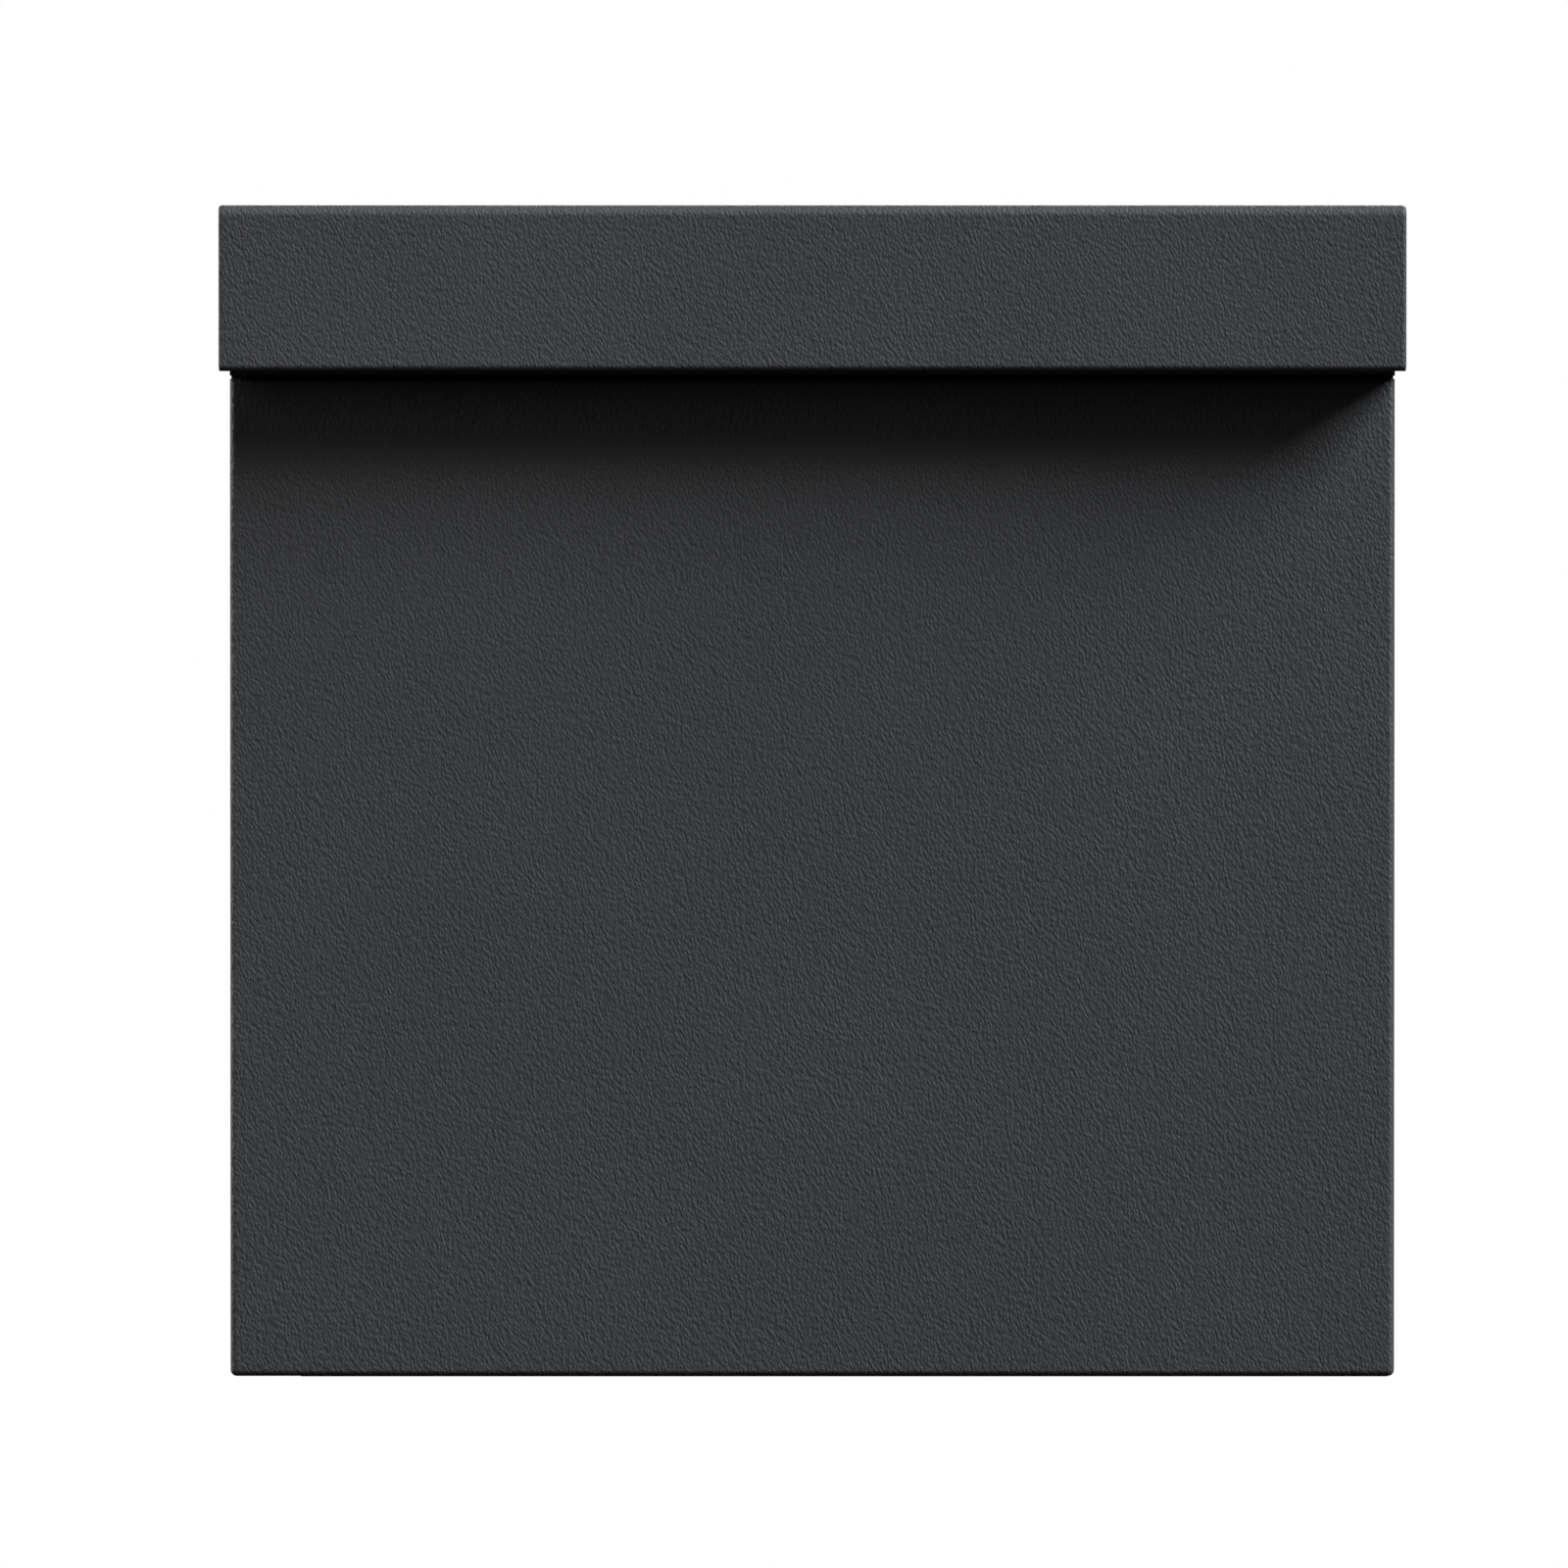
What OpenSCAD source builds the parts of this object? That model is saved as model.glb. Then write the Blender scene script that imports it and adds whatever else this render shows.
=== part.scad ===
// Wall mounted mailbox in folded sheet steel, with a lifting hood, a drop-in letter slot under it
// and a full-width front door with a concealed cam lock.
// The wall is the plane y = 0. The front faces -Y, +X is to the right and +Z is up.
// The origin is the middle of the four wall holes. Lengths are in millimetres.

/* [Overall size] */
// full height, from the hood's top to the foot of the body
overall_height = 372; // [340:1:400]
// width of the body and of the front door
body_width = 370; // [350:1:400]
// distance from the wall to the face of the door
body_depth = 105; // [95:1:130]
// thickness of the body, deck, fascia and door sheet
sheet = 1.2; // [1:0.1:1.5]
// outer radius of the folds in the body and the door
fold_radius = 2; // [1.8:0.1:2.5]

/* [Hood] */
// height of the hood's front band
hood_band = 52.5; // [45:0.5:60]
// how far the hood stands out in front of the door
hood_overhang = 27; // [22:1:35]
// thickness of the hood sheet
hood_sheet = 1.5; // [1.2:0.1:1.6]
// gap between the body's side and the inside of the hood, each side
hood_side_gap = 1.3; // [1.2:0.1:1.5]
// outer radius of the fold along the hood's front edge
hood_fold_radius = 3.5; // [3:0.1:5]
// outer radius of the folds down the hood's front corners and along its sides
hood_side_fold = 1.6; // [1.6:0.1:2.5]
// depth of the lip turned inward along the foot of the band
hood_lip = 10; // [6:1:14]

/* [Door] */
// depth of the flange folded back round the door
door_flange = 15; // [14:0.5:15.5]
// seam between the door's flange and the body's edge
door_seam = 1.5; // [1.4:0.1:2]
// distance of the hinge axis in from the door's left side
hinge_inset = 8; // [7.5:0.1:8.5]
// distance of the hinge axis behind the door's face
hinge_depth = 7; // [6.5:0.1:7.3]

/* [Letter slot] */
// width of the letter slot
slot_width = 334; // [320:1:338]
// depth of the letter slot, front to back
slot_depth = 36; // [32:1:40]

/* [Lock] */
// distance of the lock in from the body's right side
lock_inset = 40; // [35:1:50]
// radius of the lock's barrel
lock_radius = 9; // [8:0.5:9.5]

/* [Wall holes] */
// distance between the wall holes across
wall_hole_span_x = 290; // [260:1:310]
// distance between the wall holes up and down
wall_hole_span_z = 230; // [200:1:240]
// radius of a wall hole
wall_hole_radius = 3.5; // [3:0.1:4]

/* [Hidden] */
$fn = 48;
half_w = body_width / 2;
foot = -overall_height / 2;
crown = overall_height / 2;
band_foot = crown - hood_band;
door_top = band_foot - 2.5;
face_y = -body_depth;
body_edge_y = face_y + door_flange + door_seam;
hood_half = half_w + hood_side_gap + hood_sheet;
hood_front = face_y - hood_overhang;
hood_rear = -4;
hood_foot_fold = 2.5;
pivot_y = -14;
pivot_z = crown - 8;
deck_top = crown - 19;
hinge_x = -half_w + hinge_inset;
hinge_y = face_y + hinge_depth;
inner_half = half_w - sheet;
fascia_foot = door_top + 1;
lock_x = half_w - lock_inset;
lock_z = fascia_foot + 17;
slot_front = face_y + 34;
fit_gap = 0.02;
metal = [0.235, 0.24, 0.25];
zinc = [0.72, 0.73, 0.74];
rubber = [0.06, 0.06, 0.065];
nylon = [0.12, 0.12, 0.13];

// A box between two corners.
module block(a, b) {
  translate(a)
    cube([b[0] - a[0], b[1] - a[1], b[2] - a[2]]);
}

// A flat outline from u0,v0 to u1,v1 with its four corners rounded; radii run anticlockwise
// from u0,v0, and a zero leaves that corner square.
module outline(u0, v0, u1, v1, radii) {
  difference() {
    translate([u0, v0])
      square([u1 - u0, v1 - v0]);
    corner_cut(u0, v0, 1, 1, radii[0]);
    corner_cut(u1, v0, -1, 1, radii[1]);
    corner_cut(u1, v1, -1, -1, radii[2]);
    corner_cut(u0, v1, 1, -1, radii[3]);
  }
}

// What a rounded corner takes away from a square one.
module corner_cut(u, v, su, sv, r) {
  if (r > 0) {
    difference() {
      translate([su > 0 ? u - 1 : u - r, sv > 0 ? v - 1 : v - r])
        square([r + 1, r + 1]);
      translate([u + su * r, v + sv * r])
        circle(r);
    }
  }
}

// Outlines drawn in the plane across each axis and carried along it.
module along_x(x0, x1) {
  translate([x0, 0, 0])
    rotate([90, 0, 90])
      linear_extrude(x1 - x0)
        children();
}

module along_z(z0, z1) {
  translate([0, 0, z0])
    linear_extrude(z1 - z0)
      children();
}

module along_y(y0, y1) {
  translate([0, y1, 0])
    rotate([90, 0, 0])
      linear_extrude(y1 - y0)
        children();
}

// A cylinder along one axis, between two stations.
module rod_x(x0, x1, y, z, r) {
  translate([x0, y, z])
    rotate([0, 90, 0])
      cylinder(h = x1 - x0, r = r);
}

module rod_y(y0, y1, x, z, r) {
  translate([x, y1, z])
    rotate([90, 0, 0])
      cylinder(h = y1 - y0, r = r);
}

module rod_z(z0, z1, x, y, r) {
  translate([x, y, z0])
    cylinder(h = z1 - z0, r = r);
}

// A domed rivet head facing -Y or +Y.
module dome_y(x, y, z, r, side) {
  translate([x, y, z])
    rotate([side > 0 ? -90 : 90, 0, 0])
      rotate_extrude()
        intersection() {
          translate([0, -r])
            circle(r * 1.5);
          square([r, r]);
        }
}

// The body's side, foot and front outline, seen from the front.
module shell_outline(inset) {
  r = max(fold_radius - inset, 0);
  outline(-half_w + inset, foot + inset, half_w - inset, crown + 10, [r, r, 0, 0]);
}

// The side plate's own profile, seen from the right: u is y, v is z.
module side_profile() {
  difference() {
    union() {
      translate([body_edge_y, foot - 1])
        square([-body_edge_y, deck_top - foot + 1]);
      translate([face_y, fascia_foot])
        square([body_depth - 1, deck_top - fascia_foot]);
      translate([pivot_y - 9, deck_top - 4])
        square([14.5, pivot_z - deck_top + 4]);
      translate([pivot_y, pivot_z])
        circle(5.5);
    }
    translate([pivot_y, pivot_z])
      circle(3 + fit_gap);
  }
}

module body_shell() {
  color(metal)
    difference() {
      intersection() {
        along_y(-body_depth - 1, 0)
          difference() {
            shell_outline(0);
            shell_outline(sheet);
          }
        along_x(-half_w - 1, half_w + 1)
          side_profile();
      }
      for (x = [-120, 0, 120])
        rod_z(foot - 1, foot + sheet + 1, x, -30, 3);
    }
}

module back_panel() {
  color(metal)
    difference() {
      block([-inner_half, -sheet, foot + sheet], [inner_half, 0, deck_top - sheet]);
      for (x = [-1, 1], z = [-1, 1])
        rod_y(-sheet - 1, 1, x * wall_hole_span_x / 2, z * wall_hole_span_z / 2, wall_hole_radius);
    }
}

// The letter slot seen from above, or its trim's outer edge.
module slot_outline(rim) {
  u = slot_width / 2 + rim;
  r = 4 + 0.8 * rim;
  outline(-u, slot_front - rim, u, slot_front + slot_depth + rim, [r, r, r, r]);
}

module top_deck() {
  color(metal)
    difference() {
      union() {
        block([-inner_half, face_y + sheet, deck_top - sheet], [inner_half, 0, deck_top]);
        block([-inner_half, -2 * sheet, deck_top - 14], [inner_half, -sheet, deck_top - sheet]);
      }
      along_z(deck_top - sheet - 1, deck_top + 1)
        slot_outline(0);
    }
}

module top_fascia() {
  color(metal)
    difference() {
      along_x(-inner_half, inner_half)
        difference() {
          outline(face_y, fascia_foot, face_y + 17, deck_top, [fold_radius, 0, 0, 0]);
          translate([face_y + sheet, fascia_foot + sheet])
            square([20, 60]);
        }
      rod_y(face_y - 1, face_y + sheet + 1, lock_x, lock_z, lock_radius + fit_gap);
    }
}

// Folded strip down the right of the opening: a plate that the door closes onto and a rain lip
// that stands inside the door's flange.
module front_return() {
  x0 = inner_half - 12;
  y0 = body_edge_y;
  color(metal) {
    block([x0, y0, foot + sheet], [inner_half, y0 + sheet, fascia_foot - 1]);
    block([x0, y0 - 6.5, foot + sheet + 1], [x0 + sheet, y0, door_top - sheet - 1]);
  }
}

module slot_trim() {
  color(rubber)
    difference() {
      along_z(deck_top, deck_top + 1.6)
        slot_outline(5);
      along_z(deck_top - 1, deck_top + 3)
        slot_outline(0);
    }
}

// Sloping plate under the slot that leads letters to the back and keeps hands out.
module letter_chute() {
  y0 = slot_front + slot_depth + 4;
  y1 = y0 + 22;
  z0 = deck_top - sheet;
  color(metal)
    along_x(-slot_width / 2 + 6, slot_width / 2 - 6)
      polygon([
        [y0, z0], [y1, z0], [y1, z0 - sheet], [y0 + sheet, z0 - sheet],
        [y0 + sheet + 6, z0 - 30], [y0 + 6, z0 - 30]
      ]);
}

module chute_rivets() {
  y = slot_front + slot_depth + 18;
  color(zinc)
    for (x = [-140, -47, 47, 140]) {
      translate([x, y, deck_top])
        cylinder(h = 1, r1 = 3.2, r2 = 2.2);
      translate([x, y, deck_top - 2 * sheet - 1])
        cylinder(h = 1, r1 = 2.2, r2 = 3.2);
    }
}

module hood_pins() {
  color(zinc)
    for (s = [-1, 1])
      scale([s, 1, 1]) {
        rod_x(inner_half - 3, hood_half + 0.4, pivot_y, pivot_z, 3);
        rod_x(inner_half - 2, inner_half, pivot_y, pivot_z, 4.5);
        translate([hood_half + 0.4, pivot_y, pivot_z])
          rotate([0, 90, 0])
            cylinder(h = 1.6, r1 = 5.5, r2 = 4);
      }
}

module hood_washers() {
  color(nylon)
    for (s = [-1, 1])
      scale([s, 1, 1])
        difference() {
          rod_x(half_w, half_w + 0.6, pivot_y, pivot_z, 5.4);
          rod_x(half_w - 1, half_w + 2, pivot_y, pivot_z, 3 + fit_gap);
        }
}

module hood_buffers() {
  color(rubber)
    for (x = [-150, 150])
      translate([x, face_y + 15, deck_top]) {
        cylinder(h = crown - hood_sheet - deck_top - 3.4, r1 = 7, r2 = 6);
        cylinder(h = crown - hood_sheet - deck_top - 0.4, r1 = 5, r2 = 4);
      }
}

// Cranked hinge tab: a round eye on the axis, an arm to the right, a leg back past the door's
// flange and a foot that reaches the body's side.
module hinge_tab(z0, z1) {
  along_z(z0, z1)
    translate([hinge_x, hinge_y])
      difference() {
        union() {
          circle(5);
          translate([0, -5])
            square([10, 10]);
          translate([6, -5])
            square([4, 20]);
          translate([-hinge_inset + sheet, 12])
            square([hinge_inset - sheet + 10, 14]);
        }
        circle(2 + 0.06);
      }
}

module hinge_bracket_upper() {
  z1 = door_top - sheet - 1.2;
  color(zinc) {
    hinge_tab(z1 - 2, z1);
    block([-inner_half, hinge_y + 12, z1 - 16], [-inner_half + 2, hinge_y + 26, z1 - 1]);
  }
}

module hinge_bracket_lower() {
  z0 = foot + sheet + 1.2;
  color(zinc) {
    hinge_tab(z0, z0 + 2);
    block([-inner_half, hinge_y + 12, z0 + 1], [-inner_half + 2, hinge_y + 26, z0 + 16]);
  }
}

module bracket_rivets() {
  x = -inner_half + 2;
  color(zinc)
    for (y = [hinge_y + 16, hinge_y + 22], z = [foot + sheet + 11, door_top - sheet - 11])
      translate([x, y, z])
        rotate([0, 90, 0])
          cylinder(h = 1, r1 = 2.4, r2 = 1.6);
}

module door_bumpers() {
  color(rubber)
    for (z = [foot + 30, 0, door_top - 50])
      rod_y(face_y + sheet + 0.3, body_edge_y, inner_half - 6, z, 3.5);
}

// The hood's profile from its side, a sheet's thickness in from the outside if asked.
module hood_profile(inset, rear) {
  y = hood_front + inset;
  top_r = hood_fold_radius - inset;
  outline(y, band_foot + inset, rear, crown - inset, [hood_foot_fold - inset, 0, 0, top_r]);
}

module hood_shell() {
  s = hood_side_fold;
  w = hood_half - hood_sheet;
  color(metal)
    difference() {
      intersection() {
        along_x(-hood_half - 1, hood_half + 1)
          hood_profile(0, hood_rear);
        along_z(band_foot - 1, crown + 1)
          outline(-hood_half, hood_front, hood_half, hood_rear + 10, [s, s, 0, 0]);
        along_y(hood_front - 1, hood_rear + 1)
          outline(-hood_half, band_foot - 10, hood_half, crown, [0, 0, s, s]);
      }
      along_x(-w, w)
        hood_profile(hood_sheet, hood_rear + 10);
      block([-w, hood_front + hood_lip, band_foot - 2], [w, 20, band_foot + 5]);
      for (side = [-1, 1])
        rod_x(side * hood_half - 3, side * hood_half + 3, pivot_y, pivot_z, 4 + fit_gap);
    }
}

module hood_stiffener() {
  z = crown - hood_sheet;
  color(metal)
    along_x(-hood_half + 20, hood_half - 20)
      polygon([
        [-74, z], [-65.2, z], [-65.2, z - 8.8], [-50.8, z - 8.8], [-50.8, z], [-42, z],
        [-42, z - 1.2], [-49.6, z - 1.2], [-49.6, z - 10], [-66.4, z - 10], [-66.4, z - 1.2],
        [-74, z - 1.2]
      ]);
}

module hood_bushes() {
  color(nylon)
    for (s = [-1, 1])
      scale([s, 1, 1])
        difference() {
          rod_x(hood_half - hood_sheet - 0.4, hood_half, pivot_y, pivot_z, 4);
          rod_x(half_w - 1, hood_half + 2, pivot_y, pivot_z, 3 + 0.06);
        }
}

module door_panel() {
  r = fold_radius;
  q = fold_radius - sheet;
  color(metal)
    difference() {
      intersection() {
        along_x(-half_w - 1, half_w + 1)
          outline(face_y, foot, face_y + door_flange, door_top, [r, 0, 0, r]);
        along_z(foot - 1, door_top + 1)
          outline(-half_w, face_y, half_w, face_y + 30, [r, r, 0, 0]);
        along_y(face_y - 1, face_y + 40)
          outline(-half_w, foot, half_w, door_top + 10, [r, r, 0, 0]);
      }
      intersection() {
        along_x(-inner_half, inner_half)
          outline(face_y + sheet, foot + sheet, face_y + 40, door_top - sheet, [q, 0, 0, q]);
        along_z(foot - 1, door_top + 1)
          outline(-inner_half, face_y + sheet, inner_half, face_y + 50, [q, q, 0, 0]);
      }
      for (z = [foot - 1, door_top - 8])
        block([-half_w - 1, hinge_y + 2, z], [-half_w + sheet, face_y + 40, z + 9]);
      for (z = [foot - 1, door_top - sheet - 1])
        along_z(z, z + sheet + 2)
          polygon([
            [-half_w - 1, hinge_y + 2], [-half_w + 2.5, hinge_y + 7.2],
            [hinge_x, hinge_y + 9], [hinge_x, face_y + 40], [-half_w - 1, face_y + 40]
          ]);
      for (z = [foot - 1, door_top - sheet - 1])
        rod_z(z, z + sheet + 2, hinge_x, hinge_y, 2 + fit_gap);
    }
}

// Channel down the middle of the door's inside.
module door_stiffener() {
  y = face_y + sheet;
  color(metal)
    along_z(foot + 14, door_top - 26)
      polygon([
        [-30, y], [-20, y], [-20, y + 7.8], [20, y + 7.8], [20, y], [30, y], [30, y + 1.2],
        [21.2, y + 1.2], [21.2, y + 9], [-21.2, y + 9], [-21.2, y + 1.2], [-30, y + 1.2]
      ]);
}

module door_hinge_pins() {
  color(zinc) {
    rod_z(foot + 0.1, foot + sheet + 4.4, hinge_x, hinge_y, 2);
    rod_z(door_top - sheet - 4.4, door_top - 0.1, hinge_x, hinge_y, 2);
  }
}

module door_washers() {
  color(nylon)
    for (z = [foot + sheet, door_top - sheet - 0.8])
      difference() {
        rod_z(z, z + 0.8, hinge_x, hinge_y, 4.4);
        rod_z(z - 1, z + 2, hinge_x, hinge_y, 2 + fit_gap);
      }
}

// Hook on the door's inside that the lock's cam turns down in front of.
module door_catch() {
  z = fascia_foot - 20;
  y = face_y + sheet;
  color(zinc)
    along_x(lock_x - 10, lock_x + 10)
      polygon([
        [y, z - 14], [y + 1.5, z - 14], [y + 1.5, z], [y + 22.1, z], [y + 22.1, z + 15],
        [y + 20.6, z + 15], [y + 20.6, z + 1.5], [y, z + 1.5]
      ]);
}

module catch_rivets() {
  color(zinc)
    for (x = [-5, 5])
      dome_y(lock_x + x, face_y + sheet + 1.5, fascia_foot - 28, 2.4, 1);
}

module lock_housing() {
  color(zinc)
    difference() {
      union() {
        rod_y(face_y - 2, face_y, lock_x, lock_z, lock_radius + 2);
        rod_y(face_y, face_y + 18, lock_x, lock_z, lock_radius);
      }
      rod_y(face_y - 3, face_y + 20, lock_x, lock_z, lock_radius - 3);
    }
}

module lock_nut() {
  color(zinc)
    difference() {
      translate([lock_x, face_y + sheet + 4, lock_z])
        rotate([90, 0, 0])
          cylinder(h = 4, r = lock_radius + 3.4, $fn = 6);
      rod_y(face_y, face_y + 10, lock_x, lock_z, lock_radius + fit_gap);
    }
}

module lock_plug() {
  r = lock_radius - 3.06;
  color(zinc)
    difference() {
      union() {
        rod_y(face_y - 2, face_y + 19, lock_x, lock_z, r);
        block([lock_x - 3, face_y + 19, lock_z - 3], [lock_x + 3, face_y + 21.5, lock_z + 3]);
      }
      block([lock_x - 0.6, face_y - 3, lock_z - 4], [lock_x + 0.6, face_y + 8, lock_z + 4]);
      rod_y(face_y + 14, face_y + 23, lock_x, lock_z, 1.5 + fit_gap);
    }
}

module lock_cam() {
  color(zinc)
    along_y(face_y + 19, face_y + 21)
      translate([lock_x, lock_z])
        difference() {
          union() {
            circle(7);
            translate([-28, -6])
              square([28, 12]);
            translate([-28, 0])
              circle(6);
          }
          square(6.04, center = true);
        }
}

module cam_screw() {
  color(zinc) {
    rod_y(face_y + 15, face_y + 22, lock_x, lock_z, 1.5);
    difference() {
      rod_y(face_y + 21.5, face_y + 23.5, lock_x, lock_z, 4.6);
      block([lock_x - 3, face_y + 22.6, lock_z - 0.5], [lock_x + 3, face_y + 24, lock_z + 0.5]);
    }
  }
}

body_shell();
back_panel();
top_deck();
top_fascia();
front_return();
slot_trim();
letter_chute();
chute_rivets();
hood_pins();
hood_washers();
hood_buffers();
hinge_bracket_upper();
hinge_bracket_lower();
bracket_rivets();
door_bumpers();
hood_shell();
hood_stiffener();
hood_bushes();
door_panel();
door_stiffener();
door_hinge_pins();
door_washers();
door_catch();
catch_rivets();
lock_housing();
lock_nut();
lock_plug();
lock_cam();
cam_screw();
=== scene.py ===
"""Wall mounted mailbox in folded, powder-coated sheet steel, dressed for viewing.

The wall is the plane y = 0, the front faces -Y, +X is to the right and +Z is up. Lengths are in metres.
Each sub-assembly is a class that models its pieces, dresses them and hangs them on their CAD body.
"""

import logging
import math
from contextlib import contextmanager
from dataclasses import dataclass, field
from enum import Enum
from typing import Callable, Iterator, Sequence

import bmesh
import bpy
from mathutils import Matrix, Vector


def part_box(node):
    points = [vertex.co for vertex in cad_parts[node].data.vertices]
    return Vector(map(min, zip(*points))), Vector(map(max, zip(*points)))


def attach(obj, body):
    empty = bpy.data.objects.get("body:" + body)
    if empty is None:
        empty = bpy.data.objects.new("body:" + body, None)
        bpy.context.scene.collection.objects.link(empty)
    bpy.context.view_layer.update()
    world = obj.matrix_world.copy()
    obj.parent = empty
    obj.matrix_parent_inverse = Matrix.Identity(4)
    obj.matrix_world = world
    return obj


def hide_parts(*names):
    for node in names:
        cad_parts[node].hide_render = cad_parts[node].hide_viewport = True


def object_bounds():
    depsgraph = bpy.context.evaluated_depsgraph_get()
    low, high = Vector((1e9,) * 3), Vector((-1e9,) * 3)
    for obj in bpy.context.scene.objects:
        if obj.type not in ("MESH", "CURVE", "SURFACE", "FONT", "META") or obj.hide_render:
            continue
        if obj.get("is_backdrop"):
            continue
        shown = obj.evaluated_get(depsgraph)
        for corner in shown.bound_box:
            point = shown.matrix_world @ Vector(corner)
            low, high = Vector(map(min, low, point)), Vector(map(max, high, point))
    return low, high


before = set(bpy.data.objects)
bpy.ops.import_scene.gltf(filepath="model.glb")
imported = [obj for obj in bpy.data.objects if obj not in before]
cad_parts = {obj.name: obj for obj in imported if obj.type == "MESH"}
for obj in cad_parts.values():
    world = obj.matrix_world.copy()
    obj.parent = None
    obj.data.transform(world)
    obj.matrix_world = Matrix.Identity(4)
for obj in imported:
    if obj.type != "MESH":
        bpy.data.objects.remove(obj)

logging.basicConfig(level=logging.INFO, format="%(message)s")
LOG = logging.getLogger("mailbox")

MM = 0.001
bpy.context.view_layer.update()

# The share of a unit vector from which it counts as running along an axis, and how far off a plane is on it.
SQUARE = 0.9
LOOSE, NEAR, CLOSE, EXACT = 1e-3, 1e-4, 1e-5, 1e-6

Piece = bpy.types.Object
Socket = bpy.types.NodeSocket
Point = Sequence[float]
Colour = tuple[float, float, float]
Test = Callable[[Vector, Vector], bool]


class Body(Enum):
    """The four bodies that pieces ride on."""

    HOUSING = "housing"
    HOOD = "hood"
    DOOR = "door"
    LOCK = "lock"


class Slot(Enum):
    """The record's material slots."""

    COAT = "powder_coated_steel"
    ZINC = "zinc_plated_steel"
    NICKEL = "nickel_plated_lock"
    RUBBER = "black_rubber"
    NYLON = "black_nylon"


class Part(Enum):
    """What is picked in edit mode, with the name of its list in a mesh."""

    VERT = "verts"
    EDGE = "edges"
    FACE = "faces"


class Axis(Enum):
    """An axis of the frame, by its number in a vector."""

    X = 0
    Y = 1
    Z = 2


# The turns that lay a primitive's own Z along each axis.
LAID = ((0.0, math.pi / 2, 0.0), (math.pi / 2, 0.0, 0.0), (0.0, 0.0, 0.0))


# ---------------- the bench: modelling by operators


def clear_bench() -> None:
    """Nothing is selected."""
    bpy.ops.object.select_all(action="DESELECT")


def take(obj: Piece) -> None:
    """Only this piece is selected and active.

    Args:
        obj: the piece to work on.
    """
    clear_bench()
    obj.select_set(True)
    bpy.context.view_layer.objects.active = obj


def along(share: float) -> bool:
    """Whether a unit vector with this share along an axis runs along it, either way."""
    return abs(share) > SQUARE


def centre(node: str) -> Vector:
    """The middle of a CAD node's box."""
    low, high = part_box(node)
    return (low + high) / 2


@contextmanager
def editing(obj: Piece) -> Iterator[None]:
    """Edit mode on one piece, left again at the end of the block.

    Args:
        obj: the piece to edit.
    """
    take(obj)
    bpy.ops.object.mode_set(mode="EDIT")
    try:
        yield
    finally:
        bpy.ops.object.mode_set(mode="OBJECT")


def settle(obj: Piece, name: str) -> Piece:
    """Puts a new primitive's place into its mesh and names it.

    Args:
        obj: the new primitive.
        name: the piece's name.

    Returns:
        The piece, with its object at the origin.
    """
    take(obj)
    bpy.ops.object.transform_apply(location=True, rotation=True, scale=True)
    obj.name = obj.data.name = name
    return obj


def block(name: str, low: Point, high: Point) -> Piece:
    """A cuboid between two corners, the start of most folded sheets.

    Args:
        name: the piece's name.
        low: its lowest corner.
        high: its highest corner.

    Returns:
        The new piece.
    """
    clear_bench()
    middle = [(a + b) / 2 for a, b in zip(low, high)]
    size = [b - a for a, b in zip(low, high)]
    bpy.ops.mesh.primitive_cube_add(size=1, location=middle, scale=size)
    return settle(bpy.context.active_object, name)


def rod(name: str, axis: Axis, foot: Point, length: float, radius: float, sides: int = 48) -> Piece:
    """A round bar along one axis, from its foot.

    Args:
        name: the piece's name.
        axis: the axis it lies along.
        foot: the middle of its lower end.
        length: its length along the axis.
        radius: its radius.
        sides: how many sides its circle has.

    Returns:
        The new piece.
    """
    clear_bench()
    middle = list(foot)
    middle[axis.value] += length / 2
    bpy.ops.mesh.primitive_cylinder_add(
        vertices=sides, radius=radius, depth=length, location=middle, rotation=LAID[axis.value]
    )
    return settle(bpy.context.active_object, name)


def pick(obj: Piece, part: Part, wanted: Test) -> None:
    """Selects faces, edges or vertices in edit mode.

    Args:
        obj: the piece in edit mode.
        part: what is selected.
        wanted: says yes to its middle and its normal, or an edge's direction.
    """
    bpy.ops.mesh.select_mode(type=part.name)
    bpy.ops.mesh.select_all(action="DESELECT")
    mesh = bmesh.from_edit_mesh(obj.data)
    for item in getattr(mesh, part.value):
        if part is Part.EDGE:
            a, b = (v.co for v in item.verts)
            middle, way = (a + b) / 2, (b - a).normalized()
        else:
            middle, way = item.co if part is Part.VERT else item.calc_center_median(), item.normal
        if wanted(middle, way):
            item.select_set(True)
    bmesh.update_edit_mesh(obj.data)


def fold(obj: Piece, wanted: Test, radius: float, steps: int = 6) -> None:
    """Rounds chosen edges, as a press brake folds a sheet.

    Args:
        obj: the piece.
        wanted: says yes to an edge's middle and direction.
        radius: the fold's outer radius.
        steps: how many faces the round has.
    """
    with editing(obj):
        pick(obj, Part.EDGE, wanted)
        bpy.ops.mesh.bevel(offset=radius, offset_type="OFFSET", segments=steps, profile=0.5, affect="EDGES")


def open_sides(obj: Piece, wanted: Test) -> None:
    """Takes chosen faces away.

    Args:
        obj: the piece.
        wanted: says yes to a face's middle and normal.
    """
    with editing(obj):
        pick(obj, Part.FACE, wanted)
        bpy.ops.mesh.delete(type="FACE")


def score(obj: Piece, place: Point, normal: Point) -> None:
    """Cuts new edges where a plane crosses the piece, and takes nothing away.

    Args:
        obj: the piece.
        place: a point on the plane.
        normal: the plane's normal.
    """
    with editing(obj):
        bpy.ops.mesh.select_all(action="SELECT")
        bpy.ops.mesh.bisect(plane_co=place, plane_no=normal)


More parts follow.
